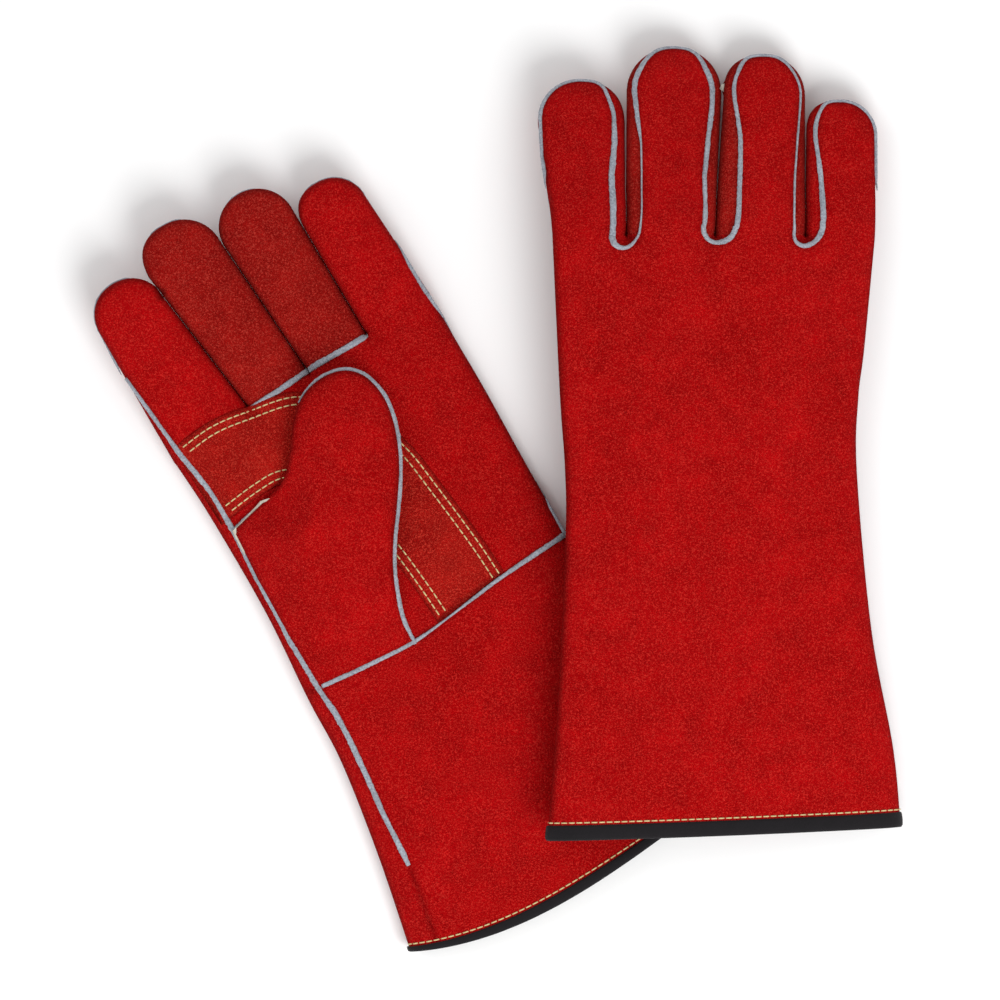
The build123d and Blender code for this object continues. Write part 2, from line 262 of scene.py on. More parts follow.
def outline(g):
    """The plan outline, up the thumb side, round the fingers and down the little side, open at the hem."""
    te, le = edge_curve(g["thumb_edge"]), edge_curve(g["little_edge"])
    y0 = knuckle_y(g, g["gaps"][0])
    pts = [(te(y), y) if y > 0 else (te(0) - 0.12 * y, y) for y in np.arange(-HEM_REACH, y0 - 1, 2.0)]
    for k in range(4):
        yc = tip_circle(g, k)[1]
        low0 = knuckle_y(g, g["gaps"][k])
        low1 = knuckle_y(g, g["gaps"][k + 1])
        inset0 = 0.0 if k == 0 else SLIT
        for y in np.linspace(low0, yc, max(3, int((yc - low0) / 2))):
            pts.append((gap_x(g, k, y) + inset0, y))
        for th in np.linspace(math.pi, 0, 30)[1:-1]:
            pts.append(tip_point(g, k, th))
        inset1 = 0.0 if k == 3 else SLIT
        for y in np.linspace(yc, low1, max(3, int((yc - low1) / 2))):
            pts.append((gap_x(g, k + 1, y) - inset1, y))
        if k < 3:
            pts.append((gap_x(g, k + 1, low1), low1 - CROTCH_DIP))
    y1 = knuckle_y(g, g["gaps"][4])
    rise = g["hem_rise"]
    pts += [(le(y), y) if y > rise else (le(rise) + 0.12 * (rise - y), y)
            for y in np.arange(y1 - 2, -HEM_REACH, -2.0)]
    return np.array(pts, float)


def leg(side, t):
    """A welt leg's inset from its gap and its width, t of the way from the crotch to the fingertip."""
    way, inset, wide = zip(*side)
    return np.interp(t, way, inset), np.interp(t, way, wide)


def back_seam(g):
    """The back's welt, from the index finger's outer edge round every finger to the little finger's, as x, y
    and the welt's width. The legs between fingers are set in from the outline, each in its own way."""
    pts = []
    outer = ((0.0, EDGE_INSET, EDGE_WIDE), (1.0, EDGE_INSET, EDGE_WIDE))
    for k in range(4):
        xc, yc, a = tip_circle(g, k)
        left = outer if k == 0 else RIGHT_LEGS[k - 1]
        right = outer if k == 3 else LEFT_LEGS[k]
        low0, low1 = knuckle_y(g, g["gaps"][k]), knuckle_y(g, g["gaps"][k + 1])
        first = OUTER_FOOT if k == 0 else low0 + 3
        for y in np.arange(first, yc - 1, 2.0):
            t = (y - low0) / (yc - low0)
            inset, wide = leg(left, t)
            if k == 0:
                inset, wide = inset * smooth((y - first) / 12), wide * smooth((y - first + 4) / 16)
            pts.append((gap_x(g, k, y) * (1 - t) + (xc - a) * t + inset, y, wide))
        for th in np.linspace(math.pi, 0, 34):
            inset, wide = leg(left if th > math.pi / 2 else right, 1.0)
            near = smooth((abs(math.cos(th)) - 0.25) / 0.7)
            inset = EDGE_INSET + max(0.0, inset - EDGE_INSET) * near
            pts.append((*tip_point(g, k, th, inset), TOP_WIDE + (wide - TOP_WIDE) * near))
        last = OUTER_FOOT if k == 3 else low1 + 3
        for y in np.arange(yc - 1, last, -2.0):
            t = (y - low1) / (yc - low1)
            inset, wide = leg(right, t)
            if k == 3:
                inset, wide = inset * smooth((y - last) / 12), wide * smooth((y - last + 4) / 16)
            pts.append((gap_x(g, k + 1, y) * (1 - t) + (xc + a) * t - inset, y, wide))
        if k < 3:
            xg = gap_x(g, k + 1, low1)
            (s0, w0), (s1, w1) = leg(LEFT_LEGS[k], 0.0), leg(RIGHT_LEGS[k], 0.0)
            for th in np.linspace(math.pi, 2 * math.pi, 17):
                r, mix = (s0 if math.cos(th) < 0 else s1), (math.cos(th) + 1) / 2
                wide = w0 + (w1 - w0) * mix
                x = xg + r * math.cos(th) + GAP_SWAY[k] * math.sin(th)
                pts.append((x, low1 + GAP_LIFT[k] + 2.5 + GAP_DROP * math.sin(th), wide))
    return np.array(pts, float)


def inside(poly, pts):
    """Which points lie inside a closed polygon."""
    x, y = pts[:, 0], pts[:, 1]
    hit = np.zeros(len(pts), bool)
    a, b = poly, np.roll(poly, -1, axis=0)
    for (x0, y0), (x1, y1) in zip(a, b):
        if y0 == y1:
            continue
        across = (y0 > y) != (y1 > y)
        hit ^= across & (x < (x1 - x0) * (y - y0) / (y1 - y0) + x0)
    return hit


def distance(line, pts):
    """The distance of each point from a polyline."""
    best = np.full(len(pts), 1e9)
    for a, b in zip(line[:-1], line[1:]):
        d = b - a
        t = np.clip(((pts - a) @ d) / max(d @ d, 1e-12), 0, 1)
        best = np.minimum(best, np.linalg.norm(pts - a - t[:, None] * d, axis=1))
    return best


def neighbours(grid):
    """The sum of the four cells next to each cell."""
    return np.roll(grid, 1, 0) + np.roll(grid, -1, 0) + np.roll(grid, 1, 1) + np.roll(grid, -1, 1)


class Plump:
    """How full a flat shape stands when it is stuffed: 0 at its outline, near 1 deep inside."""

    def __init__(self, line, reach):
        self.line, self.reach = line, reach
        self.low = line.min(0) - 3 * GRID
        self.n = np.ceil((line.max(0) + 3 * GRID - self.low) / GRID).astype(int) + 1
        xs = self.low[0] + GRID * np.arange(self.n[0])
        ys = self.low[1] + GRID * np.arange(self.n[1])
        pts = np.stack(np.meshgrid(xs, ys, indexing="ij"), -1).reshape(-1, 2)
        mask = inside(line, pts).reshape(self.n)
        d = distance(line, pts).reshape(self.n)
        u = np.where(mask, 1 - np.exp(-d / reach), 0)
        # the cells next to the outline keep the height that their distance gives, and the rest relaxes
        core = mask & (d >= 1.6 * GRID)
        k = GRID * GRID / (reach * reach)
        for _ in range(RELAX_STEPS):
            u = np.where(core, (neighbours(u) + k) / (4 + k), u)
        # what is kept is the ratio to the height from distance alone, carried a few cells out past the core
        ratio = np.where(mask, u / (1 - np.exp(-np.maximum(d, 0.3) / reach)), 1)
        value, weight = np.where(core, ratio, 0), core.astype(float)
        for _ in range(6):
            near_v = value * weight + neighbours(value * weight)
            near_w = weight + neighbours(weight)
            fresh = np.where(near_w > 0, near_v / np.maximum(near_w, 1e-9), 1)
            value = np.where(weight > 0, value, fresh)
            weight = np.maximum(weight, (near_w > 0).astype(float))
        self.ratio = value

    def __call__(self, pts):
        f = (pts - self.low) / GRID
        i = np.clip(np.floor(f).astype(int), 0, self.n - 2)
        t = np.clip(f - i, 0, 1)
        r = self.ratio
        a = r[i[:, 0], i[:, 1]] * (1 - t[:, 0]) + r[i[:, 0] + 1, i[:, 1]] * t[:, 0]
        b = r[i[:, 0], i[:, 1] + 1] * (1 - t[:, 0]) + r[i[:, 0] + 1, i[:, 1] + 1] * t[:, 0]
        ratio = a * (1 - t[:, 1]) + b * t[:, 1]
        return np.clip(ratio * (1 - np.exp(-distance(self.line, pts) / self.reach)), 0, 1)


def nearest_to(points):
    """A function that finds which of some points in space is nearest to another."""
    tree = KDTree(len(points))
    for i, p in enumerate(points):
        tree.insert(Vector(p), i)
    tree.balance()
    return lambda q: tree.find(Vector(q))[1]


def ripple(pts, seed, size, octaves=2):
    """Soft unevenness, about -1 to 1, at each point."""
    return np.array([noise.fractal(Vector((x / size, y / size, seed)), 1.0, 2.0, octaves) for x, y in pts])


class Glove:
    """One glove's pattern, how far its skin stands, and where it lies in the pair."""

    def __init__(self, side):
        self.side, self.g = side, GLOVES[side]
        g = self.g
        self.line = outline(g)
        self.full = Plump(self.line, PUFF_REACH)
        self.le = edge_curve(g["little_edge"])
        self.te = edge_curve(g["thumb_edge"])
        self.seam_back = back_seam(g)
        scale = 1.0 if side == "left" else 1.04
        low = knuckle_y(g, g["gaps"][0])
        edge = []
        for y in np.arange(-20.0, 289.5, 2.5):
            x = float(self.te(y)) if y < low else float(gap_x(g, 0, y))
            edge.append((x + np.interp(y / scale, *zip(*THUMB_SEAM)), y))
        self.seam_thumb = np.array(edge)
        self.wrist = spline(WRIST, 2.0)

    def height(self, pts, back):
        """How far the skin stands from mid-thickness."""
        u = self.full(pts)
        h = PUFF * np.sqrt(u)
        uneven = ripple(pts, self.g["seed"] + (50 if back else 0), RIPPLE_WIDE)
        fine = ripple(pts, self.g["seed"] + (90 if back else 40), RIPPLE_FINE)
        h += u * (RIPPLE_WIDE_HIGH * uneven + RIPPLE_FINE_HIGH * fine)
        under = back if self.g["palm_up"] else not back
        if under:
            h = np.minimum(h, HALF_THICK + 0.02)
        return h

    def flat(self, pts, back, lift=0.0):
        """Plan points on the back's or the palm side's skin, in the glove's own frame."""
        z = self.height(pts, back) + lift
        return np.column_stack([pts, z if back else -z])

    def bend(self, p):
        """Curls the fingers and lays the glove in the pair."""
        g = self.g
        axis = np.array([1.0, g["knuckle_slope"], 0.0])
        axis /= np.linalg.norm(axis)
        past = (p[:, 1] - knuckle_y(g, p[:, 0])) / math.hypot(1, g["knuckle_slope"])
        curl = np.radians(np.array(g["curl"]))[finger_at(g, p)] * smooth(past / 20)
        hinge = np.array([0.0, g["knuckles"], -HALF_THICK])
        v = p - hinge
        c, s = np.cos(-curl)[:, None], np.sin(-curl)[:, None]
        q = v * c + np.cross(axis, v) * s + axis * (v @ axis)[:, None] * (1 - c) + hinge
        q = np.where((past > 0)[:, None], q, p)
        return self.lay(q)

    def lay(self, p):
        """Lays points in the pair, palm up or down, leant, turned and placed, in metres."""
        g = self.g
        p = p * [1, 1, -1] if g["palm_up"] else p
        a, t = math.radians(g["lean"]), math.radians(g["turn"])
        ry = np.array([[math.cos(a), 0, math.sin(a)], [0, 1, 0], [-math.sin(a), 0, math.cos(a)]])
        rz = np.array([[math.cos(t), -math.sin(t), 0], [math.sin(t), math.cos(t), 0], [0, 0, 1]])
        return (p @ (ry @ rz).T + np.array(g["place"])) / 1000

    def hem_y(self, x):
        """The hem's y at x: a shallow arc from one side to the other."""
        g = self.g
        x0, x1 = g["thumb_edge"][0][1], g["little_edge"][0][1]
        t = np.clip((x - x0) / (x1 - x0), 0, 1)
        skew = 1 + g["hem_skew"] * (0.4 - t)
        return g["hem_rise"] * t - g["hem_sag"] * 4 * t * (1 - t) * skew


def triangulate(points, chains):
    """Triangles over points, with every chain of them kept as edges."""
    verts = [Vector((float(x), float(y))) for x, y in points]
    edges = [e for c in chains for e in zip(c[:-1], c[1:])]
    v, _, f, _, _, _ = delaunay_2d_cdt(verts, edges, [], 0, 1e-4)
    return np.array([(p.x, p.y) for p in v]), np.array([t for t in f if len(t) == 3], int)


def scatter(poly_line, keep_off, spacing, rings=(0.25, 0.8, 1.7, 2.9, 4.4)):
    """Rows of points just inside an outline and an even spread over the rest, clear of some lines."""
    d = np.gradient(poly_line, axis=0)
    normal = unit(np.column_stack([d[:, 1], -d[:, 0]]))
    sets = []
    for r in rings:
        ring = poly_line + normal * r
        ok = inside(poly_line, ring) & (distance(poly_line, ring) > 0.93 * r)
        sets.append(ring[ok])
    low, high = poly_line.min(0), poly_line.max(0)
    xs = np.arange(low[0], high[0], spacing)
    ys = np.arange(low[1], high[1], spacing * ROW_STEP)
    grid = np.array([(x + (spacing / 2 if i % 2 else 0), y) for i, y in enumerate(ys) for x in xs])
    grid = grid[inside(poly_line, grid)]
    grid = grid[distance(poly_line, grid) > rings[-1] + 0.55 * spacing]
    sets.append(grid)
    pts = np.vstack(sets)
    for line in keep_off:
        pts = pts[distance(line, pts) > 0.75]
    return pts


def clean(line, gap=0.4):
    """A chain without points that crowd each other."""
    out = [line[0]]
    for p in line[1:]:
        if np.linalg.norm(p[:2] - out[-1][:2]) > gap:
            out.append(p)
    return np.array(out)


def make_side(gl, back):
    """The plan mesh of one side of a glove, with its triangles named by the piece that they belong to."""
    g = gl.g
    xs = np.linspace(g["thumb_edge"][0][1] - 3, g["little_edge"][0][1] + 3, 90)
    hem = np.column_stack([xs, gl.hem_y(xs)])
    x0, x4 = g["gaps"][0] - 4, g["gaps"][4] + 4
    kx = np.linspace(x0, x4, 70)
    knuckle = np.column_stack([kx, knuckle_y(g, kx)])
    seam = clean(gl.seam_back[:, :2]) if back else gl.seam_thumb
    lines = [hem, knuckle, seam] + ([] if back else [gl.wrist])
    pts = [gl.line]
    chains = [list(range(len(gl.line)))]
    n = len(gl.line)
    for line in lines:
        pts.append(line)
        chains.append(list(range(n, n + len(line))))
        n += len(line)
    pts.append(scatter(gl.line, lines, SPACING))
    v, f = triangulate(np.vstack(pts), chains)
    mid = v[f].mean(1)
    ok = inside(gl.line, mid) & (mid[:, 1] > gl.hem_y(mid[:, 0]))
    f, mid = f[ok], mid[ok]
    finger = finger_at(g, mid)
    if back:
        far, low = 400.0, -100.0
        loop = np.vstack([seam, [(far, OUTER_FOOT), (far, low), (-far, low), (-far, OUTER_FOOT)]])
        is_back = inside(loop, mid)
    else:
        is_back = (mid[:, 0] < seam_x(gl, mid[:, 1])) & (mid[:, 1] < seam[-1, 1])
    below_wrist = mid[:, 1] < np.interp(mid[:, 0], gl.wrist[:, 0], gl.wrist[:, 1])
    names = np.empty(len(f), object)
    for i in range(len(f)):
        if finger[i] >= 0:
            names[i] = f"{FINGERS[finger[i]]}_{'back' if is_back[i] else 'front'}"
        elif is_back[i]:
            names[i] = "back_panel"
        else:
            names[i] = "cuff_front" if below_wrist[i] and not back else "palm_panel"
    return v, f, names


def normals_of(v, f):
    n = np.zeros_like(v)
    a, b, c = v[f[:, 0]], v[f[:, 1]], v[f[:, 2]]
    fn = np.cross(b - a, c - a)
    for i in range(3):
        np.add.at(n, f[:, i], fn)
    return unit(n)


def mesh_object(name, v, f, material, normals=None, painted_shade=None):
    """A smooth-shaded object from vertices and faces, with the normals of the whole skin where given."""
    mesh = bpy.data.meshes.new(name)
    mesh.from_pydata([tuple(map(float, p)) for p in v], [], [tuple(int(i) for i in t) for t in f])
    mesh.update()
    mesh.polygons.foreach_set("use_smooth", [True] * len(mesh.polygons))
    # the painted shade beside seams and edges is kept on the points for the suede material
    if painted_shade is not None:
        a = mesh.attributes.new("painted_seam_shade", "FLOAT", "POINT")
        a.data.foreach_set("value", np.asarray(painted_shade, np.float32))
    if normals is not None:
        mesh.normals_split_custom_set_from_vertices([tuple(map(float, n)) for n in normals])
    mesh.materials.append(material)
    obj = bpy.data.objects.new(name, mesh)
    bpy.context.collection.objects.link(obj)
    return obj


def subset(v, f, n, pick, painted_shade=None):
    """The vertices, faces and normals of some faces only."""
    f = f[pick]
    used, inverse = np.unique(f, return_inverse=True)
    return v[used], inverse.reshape(f.shape), n[used], None if painted_shade is None else painted_shade[used]


def tube(path, normal, wide, tall, sides=8, square=1.0, rough=0.0, seed=0.0):
    """A closed bead along a path, wide across the skin and tall out of it, in mm: vertices and faces."""
    path, normal = np.asarray(path), np.asarray(normal)
    t = unit(np.gradient(path, axis=0))
    side = unit(np.cross(t, normal))
    up = np.cross(side, t)
    n = len(path)
    wide, tall = np.broadcast_to(wide, n), np.broadcast_to(tall, n)
    v, f = [], []
    for i in range(n):
        for j in range(sides):
            a = 2 * math.pi * (j + 0.5) / sides
            c, s = math.cos(a), math.sin(a)
            size = 0.0005
            if rough:
                q = path[i] * 1000
                size *= 1 + rough * noise.noise(Vector((q[0] * 1.1 + seed, q[1] * 1.1, j * 1.7)))
                size *= 1 + 0.7 * rough * noise.noise(Vector((q[0] * 0.13 + seed, q[1] * 0.13, 5.0)))
            across = wide[i] * math.copysign(abs(c) ** square, c)
            out = tall[i] * math.copysign(abs(s) ** square, s)
            v.append(path[i] + (side[i] * across + up[i] * out) * size)
    for i in range(n - 1):
        for j in range(sides):
            k = (j + 1) % sides
            f.append((i * sides + j, i * sides + k, (i + 1) * sides + k, (i + 1) * sides + j))
    f.append(tuple(range(sides))[::-1])
    f.append(tuple((n - 1) * sides + j for j in range(sides)))
    return v, f


def welt(path, normal, wide, seed):
    """A strip of grey leather standing out of a seam, uneven as it was cut."""
    tall = WELT_TALL * np.minimum(1, np.asarray(wide) / 1.4)
    return tube(path, normal, wide, tall, sides=10, square=0.65, rough=0.28, seed=seed)


def tubes_object(name, parts, material):
    """One object from several tubes."""
    v, f = [], []
    for part_v, part_f in parts:
        base = len(v)
        v += part_v
        f += [tuple(base + i for i in face) for face in part_f]
    return mesh_object(name, rest(np.array(v)), f, material)


def resample(path, step):
    """Points evenly spaced along a path."""
    d = run_along(path)
    n = max(2, int(d[-1] / step) + 1)
    s = np.linspace(0, d[-1], n)
    return np.column_stack([np.interp(s, d, path[:, i]) for i in range(path.shape[1])])


# ---------------------------------------------------------------- materials


def node_tree(name):
    m = bpy.data.materials.new(name)
    m.use_nodes = True
    return m, m.node_tree, m.node_tree.nodes["Principled BSDF"]


def noise_node(tree, coord, scale, detail=3.0, rough=0.55, distortion=0.0):
    n = tree.nodes.new("ShaderNodeTexNoise")
    n.inputs["Scale"].default_value = scale
    n.inputs["Detail"].default_value = detail
    n.inputs["Roughness"].default_value = rough
    n.inputs["Distortion"].default_value = distortion
    tree.links.new(coord, n.inputs["Vector"])
    return n.outputs["Fac"]


def ramp(tree, value, low, high, color_low=(0, 0, 0, 1), color_high=(1, 1, 1, 1)):
    r = tree.nodes.new("ShaderNodeValToRGB")
    r.color_ramp.elements[0].position = low
    r.color_ramp.elements[1].position = high
    r.color_ramp.elements[0].color = color_low
    r.color_ramp.elements[1].color = color_high
    tree.links.new(value, r.inputs["Fac"])
    return r.outputs["Color"]


def mixed(tree, kind, fac, a, b):
    """A colour mix; a and b are sockets or colours, fac a socket or a number."""
    m = tree.nodes.new("ShaderNodeMix")
    m.data_type = "RGBA"
    m.blend_type = kind
    for socket, value in ((m.inputs["Factor"], fac), (m.inputs["A"], a), (m.inputs["B"], b)):
        if isinstance(value, bpy.types.NodeSocket):
            tree.links.new(value, socket)
        else:
            socket.default_value = value
    return m.outputs["Result"]


def surface(tree, bsdf, value, rough_low, rough_high, height, strength, far):
    """The roughness, between two values, and a bump from a height."""
    rough = tree.nodes.new("ShaderNodeMapRange")
    rough.inputs["To Min"].default_value = rough_low
    rough.inputs["To Max"].default_value = rough_high
    tree.links.new(value, rough.inputs["Value"])
    tree.links.new(rough.outputs["Result"], bsdf.inputs["Roughness"])
    bump = tree.nodes.new("ShaderNodeBump")
    bump.inputs["Strength"].default_value = strength
    bump.inputs["Distance"].default_value = far
    tree.links.new(height, bump.inputs["Height"])
    tree.links.new(bump.outputs["Normal"], bsdf.inputs["Normal"])


def suede(name, base, dark, light, nap=1.0, sheen=0.03, seams=True):
    """Split leather with a brushed nap: mottled, flecked with lighter fibres, with a painted shade darkening
    it beside its seams.
    """
    m, tree, bsdf = node_tree(name)
    coord = tree.nodes.new("ShaderNodeTexCoord").outputs["Object"]
    cloud = noise_node(tree, coord, 26.0, 5.0, 0.6, 0.4)
    patch = noise_node(tree, coord, 90.0, 4.0, 0.6)
    fleck = noise_node(tree, coord, 1150.0, 3.0, 0.75)
    fibre = noise_node(tree, coord, 2300.0, 2.0, 0.6)
    color = mixed(tree, "MIX", ramp(tree, cloud, 0.33, 0.68), dark, base)
    soft = ramp(tree, patch, 0.3, 0.75, (0.80, 0.80, 0.80, 1), (1.16, 1.16, 1.16, 1))
    color = mixed(tree, "MULTIPLY", 1.0, color, soft)
    bright = ramp(tree, fleck, 0.49, 0.66)
    bright = mixed(tree, "MULTIPLY", 1.0, bright, (0.72, 0.72, 0.72, 1))
    color = mixed(tree, "MIX", bright, color, light)
    grain = ramp(tree, fibre, 0.3, 0.7, (0.66, 0.66, 0.66, 1), (1.3, 1.3, 1.3, 1))
    color = mixed(tree, "MULTIPLY", 1.0, color, grain)
    # painted shade: the leather is darkened beside its seams and edges by the point attribute that the skin
    # meshes carry
    if seams:
        near = tree.nodes.new("ShaderNodeAttribute")
        near.attribute_name = "painted_seam_shade"
        shade = ramp(tree, near.outputs["Fac"], 0.0, 1.0, (1, 1, 1, 1), (0.62, 0.62, 0.62, 1))
        color = mixed(tree, "MULTIPLY", 1.0, color, shade)
    tree.links.new(color, bsdf.inputs["Base Color"])
    bsdf.inputs["Specular IOR Level"].default_value = 0.03
    bsdf.inputs["Sheen Weight"].default_value = sheen
    bsdf.inputs["Sheen Roughness"].default_value = 0.55
    bsdf.inputs["Sheen Tint"].default_value = (1.0, 0.10, 0.09, 1)
    add = tree.nodes.new("ShaderNodeMath")
    add.operation = "MULTIPLY_ADD"
    add.inputs[1].default_value = 0.5
    tree.links.new(fleck, add.inputs[0])
    tree.links.new(fibre, add.inputs[2])
    surface(tree, bsdf, patch, 0.82, 0.98, add.outputs["Value"], 0.7 * nap, 0.0009)
    return m


def fuzzy(name, base, dark, scale, bump_far=0.0004, sheen=0.3):
    """A fibrous strip, thread or tape: two tones of a fine noise with a bump of its own."""
    m, tree, bsdf = node_tree(name)
    coord = tree.nodes.new("ShaderNodeTexCoord").outputs["Object"]
    tone = noise_node(tree, coord, scale, 4.0, 0.65)
    wide = noise_node(tree, coord, scale / 9, 3.0, 0.6)
    color = mixed(tree, "MIX", ramp(tree, tone, 0.32, 0.66), dark, base)
    shade = ramp(tree, wide, 0.3, 0.7, (0.82, 0.82, 0.82, 1), (1.1, 1.1, 1.1, 1))
    color = mixed(tree, "MULTIPLY", 1.0, color, shade)
    tree.links.new(color, bsdf.inputs["Base Color"])
    bsdf.inputs["Specular IOR Level"].default_value = 0.25
    bsdf.inputs["Sheen Weight"].default_value = sheen
    surface(tree, bsdf, tone, 0.75, 0.95, tone, 0.6, bump_far)
    return m


RED = suede("suede_red", (0.42, 0.0014, 0.0030, 1), (0.33, 0.0006, 0.0016, 1), (0.58, 0.028, 0.020, 1))
LIGHT = suede(
    "suede_orange_red", (0.37, 0.0068, 0.0050, 1), (0.25, 0.0032, 0.0026, 1), (0.54, 0.050, 0.034, 1), nap=1.2
)
STRAP = suede(
    "suede_strap", (0.44, 0.0085, 0.0058, 1), (0.33, 0.0042, 0.0034, 1), (0.62, 0.050, 0.030, 1), nap=1.2
)
WELT = fuzzy("welt_grey", (0.40, 0.43, 0.48, 1), (0.18, 0.195, 0.235, 1), 1100.0)
BLACK = fuzzy("binding_black", (0.0075, 0.0055, 0.0075, 1), (0.003, 0.0022, 0.003, 1), 1400.0, 0.0003, 0.05)
THREAD = fuzzy("thread_cream", (0.74, 0.60, 0.30, 1), (0.52, 0.38, 0.17, 1), 2500.0, 0.0002, 0.1)
FLEECE = fuzzy("lining_fleece", (0.62, 0.58, 0.50, 1), (0.42, 0.38, 0.31, 1), 700.0, 0.0008, 0.4)


# ---------------------------------------------------------------- building a glove


def rest(p):
    """Nothing reaches below the table."""
    return np.column_stack([p[:, :2], np.maximum(p[:, 2], 0.0001)])


def make_glove(side_name):
    """A glove and its pieces by name: the skin's panels, the lining and what is sewn on."""
    gl = Glove(side_name)
    g = gl.g
    back_v, back_f, back_names = make_side(gl, True)
    palm_v, palm_f, palm_names = make_side(gl, False)
    top, low = gl.flat(back_v, True), gl.flat(palm_v, False)
    v = np.vstack([top, low])
    n_top = len(top)
    f = np.vstack([back_f, palm_f[:, ::-1] + n_top])
    names = np.concatenate([back_names, palm_names])
    # the two sides share the points of the outline
    key = {}
    link = np.arange(len(v))
    for i, p in enumerate(v):
        if abs(p[2]) < 0.05:
            k = (round(p[0], 3), round(p[1], 3))
            link[i] = key.setdefault(k, i)
    f = link[f]
    v[np.unique(link[np.abs(v[:, 2]) < 0.05])] *= [1, 1, 0]
    used, inverse = np.unique(f, return_inverse=True)
    v, f = v[used], inverse.reshape(f.shape)
    plan = v[:, :2].copy()
    on_back = v[:, 2] >= 0
    laid = rest(gl.bend(v))
    if g["palm_up"]:
        f = f[:, ::-1]
    normal = normals_of(laid, f)
    # a painted shade beside each seam and along the outline, where the skin rounds under
    seams_back = distance(gl.seam_back[:, :2], plan)
    seams_palm = np.minimum(distance(gl.seam_thumb, plan), distance(gl.wrist, plan))
    near = np.where(on_back, seams_back, seams_palm)
    near = np.minimum(near, distance(gl.line, plan))
    painted_shade = 1 - smooth(near / SEAM_SHADE)

    nearest = nearest_to(laid)

    def normals_at(points):
        return np.array([normal[nearest(p)] for p in points])

    pieces = {}
    for name in sorted(set(names)):
        sv, sf, sn, sw = subset(laid, f, normal, names == name, painted_shade)
        kind = LIGHT if name in ("middle_front", "ring_front") else RED
        pieces[name] = mesh_object(f"{side_name}_{name}_skin", sv, sf, kind, sn, sw)

    # the lining follows the skin a little way inside it
    inner = laid - normal * LINING_DEPTH / 1000
    first_words = [n.split("_")[0] for n in names]
    finger_of = np.array([FINGERS.index(w) if w in FINGERS else -1 for w in first_words])
    for k in range(-1, 4):
        sv, sf, sn, _ = subset(inner, f[:, ::-1], -normal, finger_of == k)
        name = "hand" if k < 0 else FINGERS[k]
        pieces[f"{name}_lining"] = mesh_object(f"{side_name}_{name}_lining_cloth", sv, sf, FLEECE, sn)

    def on_skin(path, back, lift):
        """Places a plan path on the skin, on the back where back is true, with the skin's normals there."""
        back = np.broadcast_to(back, len(path))[:, None]
        p = gl.bend(np.where(back, gl.flat(path, True), gl.flat(path, False)))
        nrm = normals_at(p)
        return rest(p + nrm * lift / 1000), nrm

    make_welts(gl, pieces, on_skin)
    make_hem(gl, pieces, normals_at)
    make_strap(gl, pieces)
    make_thumb(gl, pieces)
    return gl, pieces


def make_welts(gl, pieces, on_skin):
    """The welting: one run from the cuff up the thumb side, round every finger and down the little side, one
    across the wrist and one across the palm's knuckles. A piece for each finger and one for the hand."""
    g = gl.g
    foot = gl.seam_thumb[gl.seam_thumb[:, 1] > SIDE_WELT_FOOT]
    stations = (SIDE_WELT_FOOT, 40, 240, OUTER_FOOT)
    foot = np.column_stack([foot, np.interp(foot[:, 1], stations, (1.4, 2.5, 2.5, 1.3))])
    base = knuckle_y(g, g["gaps"][4])
    rows = np.arange(OUTER_FOOT - 2, 12, -2.0)
    edge = np.where(rows > base, gap_x(g, 4, rows), gl.le(rows))
    side = np.interp(rows, *zip(*g["little_seam"]))
    little = np.column_stack([edge - np.abs(side), rows, 0.7 + 1.1 * smooth(np.abs(side) / 1.2)])
    runs = [(foot, False), (clean(gl.seam_back), True), (little, side < 0)]
    welts = {k: [] for k in ("seam",) + FINGERS}
    for path, back in runs:
        line = resample(np.column_stack([path, np.broadcast_to(back, len(path))]), WELT_STEP)
        which = finger_at(g, line)
        start = 0
        for i in range(1, len(line) + 1):
            if i == len(line) or which[i] != which[start]:
                part = line[start:min(i + 1, len(line))]
                if len(part) > 2:
                    p, nrm = on_skin(part[:, :2], part[:, 3] > 0.5, 0.25)
                    name = "seam" if which[start] < 0 else FINGERS[which[start]]
                    welts[name].append(welt(p, nrm, part[:, 2], g["seed"]))
                start = i
    x, y = gl.wrist.T
    line = resample(gl.wrist[(x > seam_x(gl, y)) & (x < gl.le(y) - 0.3)], WELT_STEP)
    p, nrm = on_skin(line, False, 0.2)
    wide = np.interp(line[:, 0], (-60, -15, 5, 25, 70), (2.1, 1.9, 0.9, 1.7, 2.4))
    welts["seam"].append(welt(p, nrm, wide, 7.0))
    kx = np.linspace(g["gaps"][1] + 0.5, g["gaps"][3] - 0.5, 70)
    past = np.interp(kx, (-30, -15, 5, 20, 31), (1.5, 0.5, 0.7, -0.4, -1.0))
    line = np.column_stack([kx, knuckle_y(g, kx) + past])
    p, nrm = on_skin(line, False, 0.2)
    welts["seam"].append(welt(p, nrm, np.interp(kx, (kx[0], kx[0] + 14, kx[-1]), (0.9, 2.6, 2.9)), 8.0))
    for name, parts in welts.items():
        pieces["seam_welting" if name == "seam" else f"{name}_welt"] = tubes_object(
            f"{gl.side}_{name}_welt_strip", parts, WELT)


def tape_height(gl):
    """How far the hem tape reaches up the cuff, narrower towards the sides where the cuff rolls under."""
    t = (1 + HEM_WAY) / 2
    return gl.g["tape_tall"] * (1 - gl.g["tape_roll"] * (1 - np.sin(math.pi * (0.05 + 0.9 * t))))


